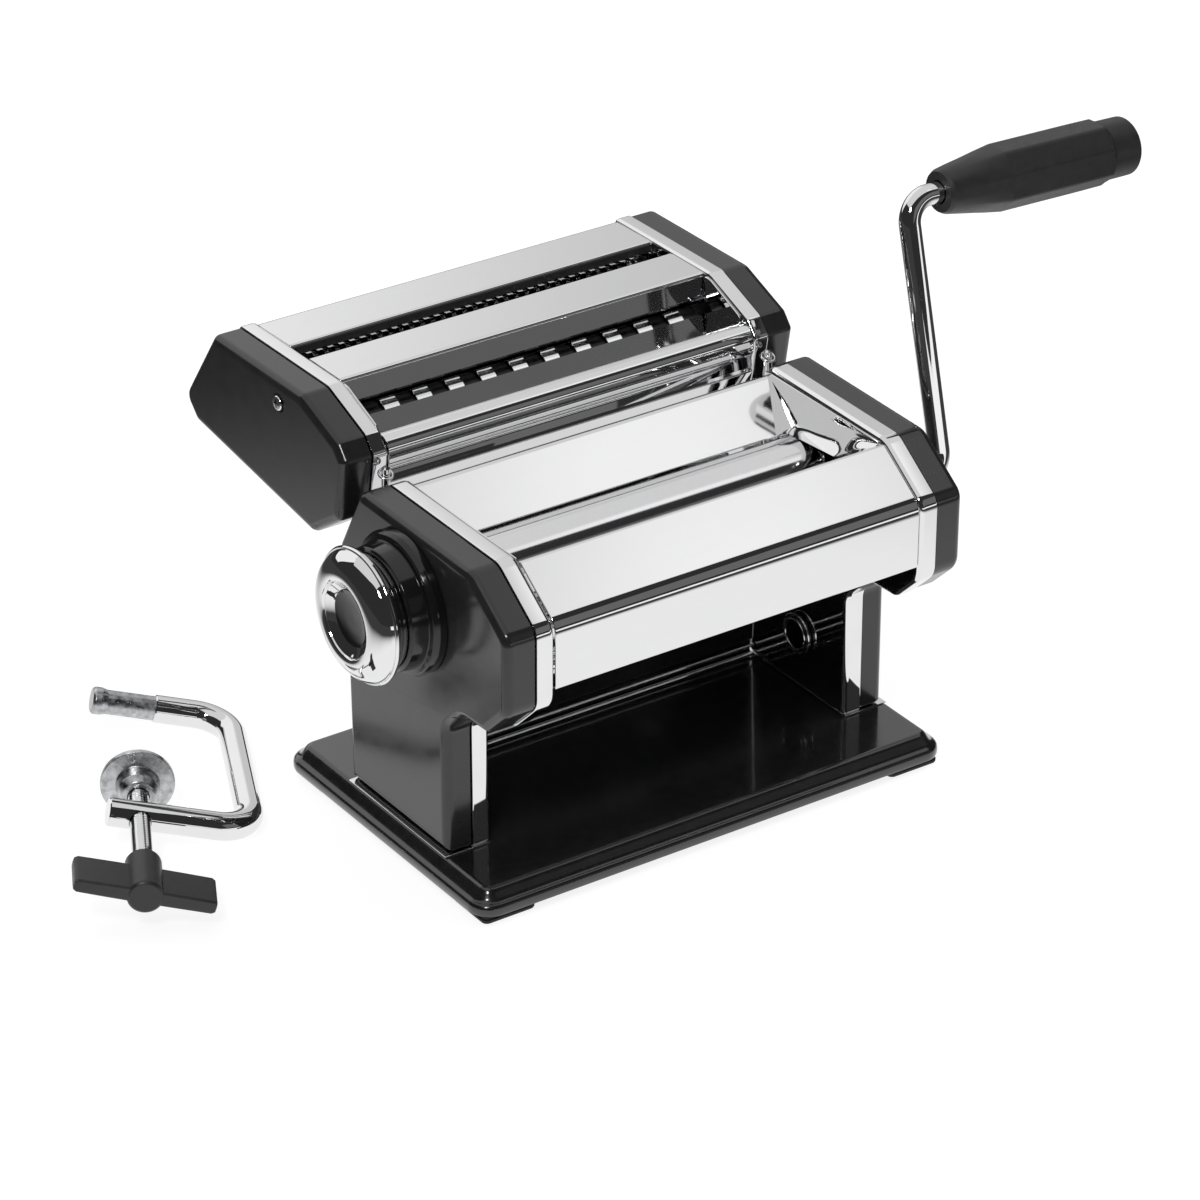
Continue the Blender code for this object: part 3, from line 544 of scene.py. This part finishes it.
def build_sheets():
    half = 75.7
    slope = [(19.6, 88.0), (16.2, 131.4, 2.2), (-4.0, 115.9)]
    piece(folded("rear_hood_sheet", slope, half), "frame", "chrome", SHEET, "rear_hood")
    wall = [(23.4, 12.4), (23.2, 18.0, 0.8), (22.0, 18.9, 0.8), (19.4, 87.2)]
    piece(folded("black_back_panel", wall, half), "frame", "gloss_black", ENAMEL, "back_panel")
    apron = [(-52.2, 127.4), (-52.6, 131.0, 0.9), (-74.5, 115.8, 7.6), (-74.4, 92.0, 0.8), (-73.2, 91.6)]
    piece(folded("front_hood_sheet", apron, half, segments=16), "frame", "chrome", SHEET, "front_hood")
    for tag, y, z in (("low", 20.7, 13.1), ("high", 20.9, 16.6)):
        bead = swept("panel_bead_" + tag, [(-75.5, y, z), (75.5, y, z)], 0.7, 20, 0.1)
        piece(bead, "frame", "chrome", CHROME)
    for side, sx in SIDES:
        guide = guide_plate("hopper_guide_" + side, sx)
        piece(guide, "frame", "chrome", CHROME, "dough_guide_" + side)
    bar = swept("tie_bar", [(-75.4, -65.0, 97.0), (75.4, -65.0, 97.0)], 3.0)
    piece(bar, "frame", "steel", STEEL, "tie_rod")
    sleeve = [(95.1, 5.4, 0.3), (95.1, 6.6, 0.3), (75.7, 6.6), (75.7, 7.8, 0.5), (74.6, 7.8, 0.5),
              (74.2, 7.0, 0.2), (73.6, 6.7, 0.2), (73.6, 5.4, 0.4)]
    # The chromed sleeve takes black gloss plastic: painted shade inside the clamp hole.
    tube = lathe("clamp_hole_sleeve", sleeve, (0, *SLEEVE), ring=True)
    piece(tube, "frame", "chrome", COVER_GLOSS, "clamp_sleeve")
    for tag, reach, radius in (("outer", 74.4, 7.5), ("inner", 73.7, 5.9)):
        rim = [Vector((reach, SLEEVE[0] + radius * cos(t), SLEEVE[1] + radius * sin(t)))
               for t in (2 * pi * k / 64 for k in range(64))]
        piece(swept("sleeve_rim_" + tag, rim, 0.4, 12, closed=True), "frame", "chrome", CHROME)


# ---- smooth rollers and their carriage ----
def build_rollers():
    front = [(75.0, 0.0), (75.0, 4.25), (96.6, 4.25), (97.2, 4.8), (97.2, 6.2, 0.4), (73.0, 6.2),
             (73.0, ROLLER_R, 0.7), (-73.0, ROLLER_R, 0.7), (-73.0, JOURNAL_R), (-84.0, JOURNAL_R, 0.4),
             (-84.0, 0.0)]
    roller = lathe("front_smooth_roller", front, (0, FRONT_Y, AXIS_Z), steps=128)
    piece(roller, "front_roller_set", "steel", STEEL, "front_roller")
    rear = [(91.5, 0.0), (91.5, 4.5, 0.5), (73.0, 4.5), (73.0, ROLLER_R, 0.7), (-73.0, ROLLER_R, 0.7),
            (-73.0, JOURNAL_R), (-78.2, JOURNAL_R), (-78.2, 0.0)]
    roller = lathe("rear_smooth_roller", rear, (0, REAR_Y, AXIS_Z), steps=128)
    piece(roller, "rear_roller_set", "steel", STEEL, "rear_roller")
    dress(STEEL, "front_gear", "rear_gear", "front_bush_left", "front_bush_right", "scraper_front",
          "scraper_rear", "carriage_bar", "dial_shaft")
    dress(ALLOY, "bearing_block_left", "bearing_block_right")


# ---- thickness knob ----
def build_regulator():
    collar = [(-95.7, 8.0), (-95.7, 25.7, 0.3), (-98.6, 26.0, 1.6), (-100.6, 25.0, 1.0), (-101.0, 22.9, 0.5),
              (-107.0, 22.2, 0.8), (-107.8, 21.2, 0.4), (-107.8, 8.0)]
    ring = lathe("knob_collar", collar, (0, DIAL_Y, AXIS_Z), steps=128, ring=True, smooth=50)
    piece(ring, "dial", "gloss_black", COVER_GLOSS, "dial_collar")
    rim = [(-108.2, 0.0), (-108.2, 20.6, 0.3), (-110.6, 21.6, 1.0), (-112.4, 22.4, 0.8), (-113.2, 24.4, 0.6),
           (-114.4, 24.8, 0.6), (-115.2, 24.3, 0.35)]
    face = flowing([(-115.1, 23.7), (-116.6, 23.1), (-118.9, 21.2), (-120.5, 18.4), (-121.1, 15.9),
                    (-120.7, 14.2), (-119.9, 13.6)], 9)
    bowl = flowing([(-119.8, 13.3), (-118.9, 12.1), (-117.6, 10.0), (-116.7, 7.4), (-116.1, 3.6),
                    (-116.0, 0.0)], 7)
    cap = lathe("knob_cap", rim + face + bowl, (0, DIAL_Y, AXIS_Z), steps=192, smooth=40, segments=6)
    piece(cap, "knob", "chrome", CHROME, "thickness_knob")
    dish = [(-116.0, 0.0), (-116.0, 9.6)] + flowing([(-117.9, 10.2), (-117.4, 8.8), (-116.9, 6.0),
                                                     (-116.7, 3.0), (-116.6, 0.0)], 6)
    disc = lathe("knob_disc", dish, (0, DIAL_Y, AXIS_Z), steps=128, smooth=60)
    piece(disc, "knob", "gloss_black", COVER_GLOSS)


# ---- crank ----
def build_crank():
    reach, tilt = 111.0, radians(2.0)
    top = Vector((reach, -17.0, 201.0))
    grip_x, grip_end = 125.0, 209.8
    tip = grip_end - 6.0
    path = [(76.0, FRONT_Y, AXIS_Z), (reach, FRONT_Y, AXIS_Z), top,
            (tip, top.y, top.z - (tip - reach) * tan(tilt))]
    rod = swept("crank_bar", bend(path, 9.0), 3.9, sides=48)
    piece(rod, "crank", "chrome", CHROME, "crank_rod")
    length = (grip_end - grip_x) / cos(tilt)
    way = Vector((cos(tilt), 0.0, -sin(tilt)))
    start = top + way * ((grip_x - reach) / cos(tilt))

    def flats(a, t):
        """Eight flats on the middle of the grip, fading out at its neck and before its end."""
        amount = min(max((a - 8.0) / 16.0, 0.0), 1.0) * (1.0 if a < 71.0 else 0.0)
        corner = (t + pi / 8) % (pi / 4) - pi / 8
        flat = cos(pi / 8) / cos(corner)
        return 1.0 - amount * (1.0 - min(flat * 1.012, 1.0))

    profile = [(0.0, 4.3), (0.0, 7.4, 0.4), (1.5, 8.2, 1.0), (6.0, 9.0), (12.0, 10.0), (18.0, 11.1),
               (25.0, 12.2, 2.0), (30.0, 12.2), (45.0, 12.2), (60.0, 12.2), (70.6, 12.1, 0.5),
               (71.4, 11.2, 0.4), (72.0, 10.8, 0.3), (length - 1.7, 10.7, 1.5), (length - 0.3, 9.4, 2.0),
               (length, 6.4, 1.0), (length, 0.0)]
    grip = lathe("crank_handle", profile, start, way, steps=128, smooth=24, shape=flats)
    piece(grip, "grip", "matte_black", MATTE, "crank_grip")


# ---- cutter head ----
def comb(cells, first, crest, root):
    """Rings on every second cell, with a fine break at each edge."""
    pitch, break_w, points = 148.0 / cells, 0.18, []
    for i in range(cells - 1, -1, -1):
        if (i + first) % 2:
            low = -74.0 + i * pitch + 0.15
            high = low + pitch - 0.3
            points += [(high, root), (high, crest - break_w), (high - break_w, crest),
                       (low + break_w, crest), (low, crest - break_w), (low, root)]
    return points


def build_cutters():
    for tag, (mid, z, cells) in (("wide", WIDE), ("narrow", NARROW)):
        for end, sy, first in (("front", -1, 0), ("rear", 1, 1)):
            body = comb(cells, first, CUTTER_CREST, CUTTER_ROOT)
            if body[0][0] < 73.5:
                body.insert(0, (74.0, CUTTER_ROOT))
            if body[-1][0] > -73.5:
                body.append((-74.0, CUTTER_ROOT))
            far = 84.2 if end == "rear" else 91.0
            profile = ([(far, 0.0), (far, JOURNAL_R), (body[0][0], JOURNAL_R)] + body
                       + [(body[-1][0], JOURNAL_R), (-84.0, JOURNAL_R), (-84.0, 0.0)])
            spot = (0, mid + sy * CUTTER_HALF_GAP, z)
            roller = lathe("%s_slicer_%s" % (tag, end), profile, spot, steps=64 if cells < 30 else 40)
            piece(roller, "%s_%s" % (tag, end), "steel", STEEL, "%s_cutter_%s" % (tag, end))
            # Faces nearer the axis than 9 mm, the grooves and the ring flanks, take the painted shade of the
            # deep grooves.
            roller.data.materials.append(GROOVE_SHADE)
            for face in roller.data.polygons:
                reach = [Vector((v.y - spot[1] * MM, v.z - spot[2] * MM)).length / MM
                         for v in (roller.data.vertices[k].co for k in face.vertices)]
                if min(reach) < 9.0 and abs(face.center.x) < 74.2 * MM:
                    face.material_index = 1
    dress(STEEL, "stripper_wide", "stripper_narrow", *["%s_gear_%s" % (a, b) for a in ("wide", "narrow")
                                                       for b in ("front", "rear")])


def cross_screw(name, sx):
    """Low round-headed screw with a cross recess."""
    x = 95.7
    y, z = HEAD_SCREW
    screw = lathe(name, [(sx * 87.0, 0.0), (sx * 87.0, 1.4), (sx * x, 1.4), (sx * x, 2.9, 0.2),
                         (sx * (x + 0.7), 2.5, 0.5), (sx * (x + 0.9), 0.0)], (0, y, z), steps=64)
    ends = sorted((sx * (x - 0.4), sx * (x + 2.1)))
    for wide, tall in ((3.4, 0.75), (0.75, 3.4)):
        tool = block("cross", ends, (y - wide / 2, y + wide / 2), (z - tall / 2, z + tall / 2), 0.01)
        carve(screw, tool)
    return screw


def head_guide(name, sx):
    """Small end guide beside the wide inlet, standing on the web of the end plate."""
    outline = rounded([(33.0, 142.4, 1.0), (45.5, 141.6, 2.0), (54.0, 143.0, 6.0), (56.0, 152.6, 1.0),
                       (52.0, 152.4, 6.0), (34.0, 145.2, 2.0)])
    obj = loft(name, [[(sx * x, y, z) for y, z in outline] for x in (76.3, 77.1)])
    soften(obj, 0.25, 2)
    return obj


def build_head():
    half = 76.9
    for side, sx in SIDES:
        plate = plate_shell("head_end_plate_" + side, HEAD, sx, HEAD_WEB_IN, 1.5)
        piece(plate, "cutter_head", "chrome", CHROME, "head_plate_" + side)
        shell = cover_shell("head_end_cover_" + side, HEAD_COVER, sx)
        if sx > 0:
            drill(shell, (94, WIDE[0] + CUTTER_HALF_GAP, WIDE[1]), 6.0, 14)
            drill(shell, (94, NARROW[0] + CUTTER_HALF_GAP, NARROW[1]), 6.0, 14)
        drill(shell, (sx * 94, *HEAD_SCREW), 3.5, 14)
        piece(shell, "cutter_head", "gloss_black", COVER, "head_cover_" + side)
        piece(cross_screw("cross_screw_" + side, sx), "cutter_head", "chrome", CHROME, "cover_screw_" + side)
        well = [(sx * 88.0, 1.6), (sx * 94.2, 1.6), (sx * 94.2, 3.45), (sx * 88.0, 3.45)]
        seat = lathe("screw_seat_" + side, well, (0, *HEAD_SCREW), steps=48, ring=True)
        piece(seat, "cutter_head", "gloss_black", COVER)
        piece(head_guide("inlet_guide_" + side, sx), "cutter_head", "chrome", CHROME)
    back = [(129.6, 121.5), (112.6, 152.0, 2.0), (90.5, 152.6, 0.8), (90.1, 148.0)]
    piece(folded("head_back_cover", back, half), "cutter_head", "chrome", SHEET, "head_back_sheet")
    middle = [(77.8, 148.0), (77.6, 152.8, 0.8), (57.0, 153.0, 1.2), (56.2, 142.0)]
    piece(folded("head_middle_cover", middle, half), "cutter_head", "chrome", SHEET, "head_middle_sheet")
    # Thin matte black strip just in front of the back cover's lip: painted shade in the narrow slot, not a part
    # of the machine.
    shade = block("slot_shade", (-half, half), (89.2, 89.55), (149.3, 152.2), 0.1)
    piece(shade, "cutter_head", "matte_black", MATTE)
    front = [(48.8, 141.0), (26.4, 142.9, 6.0), (26.2, 133.4, 0.4), (27.8, 132.0, 0.4), (27.4, 127.4, 0.4),
             (26.4, 126.4, 0.4), (29.2, 117.4)]
    piece(folded("head_front_cover", front, half, segments=12), "cutter_head", "chrome", SHEET,
          "head_front_bar")


def build_hooks():
    """Wire loops that hold the cutter head to the body."""
    for side, sx in SIDES:
        x, y = sx * 80.8, 22.0
        pin = swept("rail_pin_" + side, [(x, y, 100.4), (x, y, 135.6)], 1.55, sides=24, ends=0.7)
        piece(pin, "frame", "chrome", CHROME, "head_rail_" + side)
        loops = [Vector((x + 2.4 * cos(t), y + 2.4 * sin(t), 132.6 + 0.9 * sin(t)))
                 for t in (2 * pi * k / 48 for k in range(48))]
        eye = swept("hook_eye_" + side, loops, 0.5, sides=14, closed=True)
        piece(eye, "cutter_head", "chrome", CHROME, "head_hook_" + side)


# ---- table clamp ----
CORNER = Vector((-102.2, 99.9, 5.2))
LEG_WAY = Vector((-0.4146, -0.91, 0.0)).normalized()
SCREW_WAY = Vector((-0.465, -0.885, 0.0)).normalized()
RISE = radians(14.5)
ARM_WAY = Vector((LEG_WAY.y * cos(RISE), -LEG_WAY.x * cos(RISE), sin(RISE)))
SPAN, ARM_LENGTH, LOW_ARM, SCREW_AT, TURNED_END, BAR_R = 79.0, 51.0, 52.0, 40.6, 23.0, 5.1


def build_clamp():
    low = CORNER + LEG_WAY * SPAN
    shoulder = CORNER + ARM_WAY * (ARM_LENGTH - TURNED_END)
    bar = swept("clamp_bar", bend([shoulder, CORNER, low, low + ARM_WAY * LOW_ARM], 13.0, 20), BAR_R, 56, 0.4)
    crossing = low + ARM_WAY * SCREW_AT
    drill(bar, crossing, 4.0, 16, SCREW_WAY)
    piece(bar, "clamp", "chrome", CHROME, "clamp_frame")
    end = [(TURNED_END, 0.0), (TURNED_END, 4.3, 0.5), (TURNED_END - 0.9, 5.0, 0.6),
           (TURNED_END - 3.4, 5.0, 1.0), (TURNED_END - 5.4, 4.45, 1.2), (-0.3, 4.45), (-0.3, 0.0)]
    plain = lathe("clamp_plain_end", end, shoulder, ARM_WAY, steps=64, smooth=40)
    piece(plain, "clamp", "zinc", ZINC)
    rod = [(47.0, 0.0), (47.0, 3.3, 0.2), (46.6, 3.7)]
    pitch, depth, a = 1.5, 0.22, 30.0
    while a > -15.5:
        rod += [(a, 3.7), (a - pitch * 0.5, 3.7 - depth)]
        a -= pitch
    rod += [(-16.4, 3.6), (-16.4, 0.0)]
    screw = lathe("clamp_screw_rod", rod, crossing, SCREW_WAY, steps=48, smooth=30)
    piece(screw, "clamp_screw", "chrome", CHROME, "clamp_spindle")
    pad = [(-16.7, 0.0), (-16.7, 4.0), (-12.5, 4.0), (-12.5, 6.0, 1.4), (-15.6, 7.4, 2.4), (-20.7, 7.7, 0.6),
           (-21.2, 13.2, 0.4), (-23.4, 13.2, 0.4), (-23.4, 0.0)]
    foot = lathe("clamp_foot_pad", pad, crossing, SCREW_WAY, steps=96, smooth=50)
    piece(foot, "clamp_foot", "zinc", ZINC, "clamp_pad")
    build_wings(crossing)


def build_wings(crossing):
    """Handle: two tilted wings and a round boss that takes the spindle."""
    across = Vector((0, 0, 1)).cross(SCREW_WAY).normalized()
    along = Matrix.Rotation(radians(-15.0), 3, SCREW_WAY) @ across
    up = SCREW_WAY.cross(along).normalized()
    middle = crossing + SCREW_WAY * 45.5
    rings = [(-24.9, 1.2, 7.0), (-24.6, 2.0, 7.8), (-23.4, 2.6, 8.1), (-12.0, 2.75, 8.1), (-4.0, 2.8, 8.1),
             (4.0, 2.8, 8.1), (12.0, 2.75, 8.1), (23.4, 2.6, 8.1), (24.6, 2.0, 7.8), (24.9, 1.2, 7.0)]
    loops = []
    for s, half_t, half_w in rings:
        section = rounded([(half_w, half_t, 0.9), (-half_w, half_t, 0.9), (-half_w, -half_t, 0.9),
                           (half_w, -half_t, 0.9)], segments=4)
        loops.append([middle + along * s + SCREW_WAY * w + up * t for w, t in section])
    wings = loft("handle_wings", loops, 40)
    boss = [(54.0, 0.0), (54.0, 5.5, 0.6), (53.2, 6.4, 0.8), (32.0, 6.4, 0.6), (32.0, 4.0), (47.3, 4.0),
            (47.3, 0.0)]
    hub = lathe("handle_boss", boss, crossing, SCREW_WAY, steps=64, smooth=40)
    drill(wings, middle, 5.6, 20, SCREW_WAY)
    piece(wings, "clamp_screw", "matte_black", MATTE, "clamp_handle")
    piece(hub, "clamp_screw", "matte_black", MATTE)


# ---- floor, light and camera ----
def emitter(name, strength):
    """White glow of one strength."""
    mat = bpy.data.materials.new(name)
    mat.use_nodes = True
    tree = mat.node_tree
    tree.nodes.clear()
    glow = tree.nodes.new("ShaderNodeEmission")
    glow.inputs["Color"].default_value = (1, 1, 1, 1)
    glow.inputs["Strength"].default_value = strength
    out = tree.nodes.new("ShaderNodeOutputMaterial")
    tree.links.new(glow.outputs["Emission"], out.inputs["Surface"])
    return mat


def card(name, centre, size, look_at, strength):
    """Flat studio card, unseen by the camera, that shows in the metal."""
    mesh = bpy.data.meshes.new(name)
    w, h = size[0] / 2, size[1] / 2
    mesh.from_pydata([(-w, -h, 0), (w, -h, 0), (w, h, 0), (-w, h, 0)], [], [(0, 1, 2, 3)])
    obj = bpy.data.objects.new(name, mesh)
    way = (Vector(look_at) - Vector(centre)).normalized()
    obj.location = centre
    obj.rotation_euler = way.to_track_quat("Z", "Y").to_euler()
    obj.data.materials.append(emitter(name + "_glow", strength))
    obj.visible_camera = False
    bpy.context.scene.collection.objects.link(obj)
    return obj


def area(name, centre, size, look_at, power):
    """Square area light."""
    data = bpy.data.lights.new(name, "AREA")
    data.shape = "RECTANGLE"
    data.size = data.size_y = size
    data.energy = power
    obj = bpy.data.objects.new(name, data)
    obj.location = centre
    obj.rotation_euler = (Vector(centre) - Vector(look_at)).to_track_quat("Z", "Y").to_euler()
    bpy.context.scene.collection.objects.link(obj)
    return obj


def fade(glowing, spot, stops, radial, strength):
    """Let a card's glow change with the distance from a spot, or with x alone, in metres."""
    tree = glowing.data.materials[0].node_tree
    place = tree.nodes.new("ShaderNodeNewGeometry")
    shift = tree.nodes.new("ShaderNodeVectorMath")
    shift.operation = "SUBTRACT"
    shift.inputs[1].default_value = spot
    tree.links.new(place.outputs["Position"], shift.inputs[0])
    if radial:
        measure = tree.nodes.new("ShaderNodeVectorMath")
        measure.operation = "LENGTH"
        value = measure.outputs["Value"]
    else:
        measure = tree.nodes.new("ShaderNodeSeparateXYZ")
        value = measure.outputs["X"]
    tree.links.new(shift.outputs["Vector"], measure.inputs[0])
    ramp = tree.nodes.new("ShaderNodeMapRange")
    ramp.interpolation_type = "SMOOTHSTEP"
    ramp.inputs["From Min"].default_value = stops[0]
    ramp.inputs["From Max"].default_value = stops[1]
    ramp.inputs["To Min"].default_value = strength[0]
    ramp.inputs["To Max"].default_value = strength[1]
    tree.links.new(value, ramp.inputs["Value"])
    tree.links.new(ramp.outputs["Result"], tree.nodes["Emission"].inputs["Strength"])


def build_studio():
    scene = bpy.context.scene
    scene.view_settings.view_transform = "Standard"
    floor_mesh = bpy.data.meshes.new("floor")
    s = 9.0
    floor_mesh.from_pydata([(-s, -s, 0), (s, -s, 0), (s, s, 0), (-s, s, 0)], [], [(0, 1, 2, 3)])
    floor = bpy.data.objects.new("floor", floor_mesh)
    floor.location.z = -0.0002
    floor.visible_glossy = False
    mat = bpy.data.materials.new("pale_floor")
    mat.use_nodes = True
    shader = mat.node_tree.nodes["Principled BSDF"]
    shader.inputs["Base Color"].default_value = (0.30, 0.30, 0.30, 1)
    shader.inputs["Roughness"].default_value = 0.9
    shader.inputs["Specular IOR Level"].default_value = 0.0
    shader.inputs["Emission Color"].default_value = (1, 1, 1, 1)
    shader.inputs["Emission Strength"].default_value = 0.86
    floor.data.materials.append(mat)
    scene.collection.objects.link(floor)
    table = card("table_top", (0, 0, -0.0004), (9.0, 9.0), (0, 0, 1.0), 1.0)
    table.visible_diffuse = False
    table.visible_shadow = False
    fade(table, (0.0, -0.06, 0.0), (0.22, 0.50), True, (1.0, 0.05))
    world = bpy.data.worlds.new("studio")
    world.use_nodes = True
    tree = world.node_tree
    room = tree.nodes["Background"]
    room.inputs["Color"].default_value = (1, 1, 1, 1)
    room.inputs["Strength"].default_value = 0.03
    white = tree.nodes.new("ShaderNodeBackground")
    white.inputs["Strength"].default_value = 1.0
    path = tree.nodes.new("ShaderNodeLightPath")
    mix = tree.nodes.new("ShaderNodeMixShader")
    tree.links.new(path.outputs["Is Camera Ray"], mix.inputs["Fac"])
    tree.links.new(room.outputs["Background"], mix.inputs[1])
    tree.links.new(white.outputs["Background"], mix.inputs[2])
    tree.links.new(mix.outputs["Shader"], tree.nodes["World Output"].inputs["Surface"])
    scene.world = world
    top = card("top_card", (0.15, 0.32, 1.5), (2.6, 1.88), (0.15, 0.32, 0.1), 1.02)
    fade(top, (0.86, -0.43, 1.5), (0.02, 0.30), True, (1.08, 0.76))
    card("front_dim", (1.0, -1.5, 0.85), (2.2, 0.9), (0, 0, 0.1), 0.15)
    back = card("back_card", (0.8, 1.55, 1.15), (3.6, 1.7), (0.8, 0.1, 0.75), 1.0)
    fade(back, (0.0, 0.0, 0.0), (0.62, 1.2), False, (1.02, 0.66))
    card("low_strip", (0.6, -1.25, 0.07), (2.4, 0.15), (0.3, 0, 0.07), 1.1)
    area("key", (-1.1, -0.9, 1.5), 0.30, (0, 0, 0.08), 10.0)
    area("rim", (0.9, -0.3, 1.3), 0.25, (0, 0, 0.1), 4.0).visible_glossy = False
    data = bpy.data.cameras.new("camera")
    data.lens = 153.86
    data.sensor_width = 36.0
    data.clip_end = 40.0
    cam = bpy.data.objects.new("camera", data)
    cam.location = (-0.8983, -1.3076, 0.9444)
    cam.rotation_euler = (radians(61.09), 0.0, radians(-34.28))
    scene.collection.objects.link(cam)
    scene.camera = cam


build_base()
build_sides()
build_sheets()
build_rollers()
build_regulator()
build_crank()
build_cutters()
build_head()
build_hooks()
build_clamp()
build_studio()
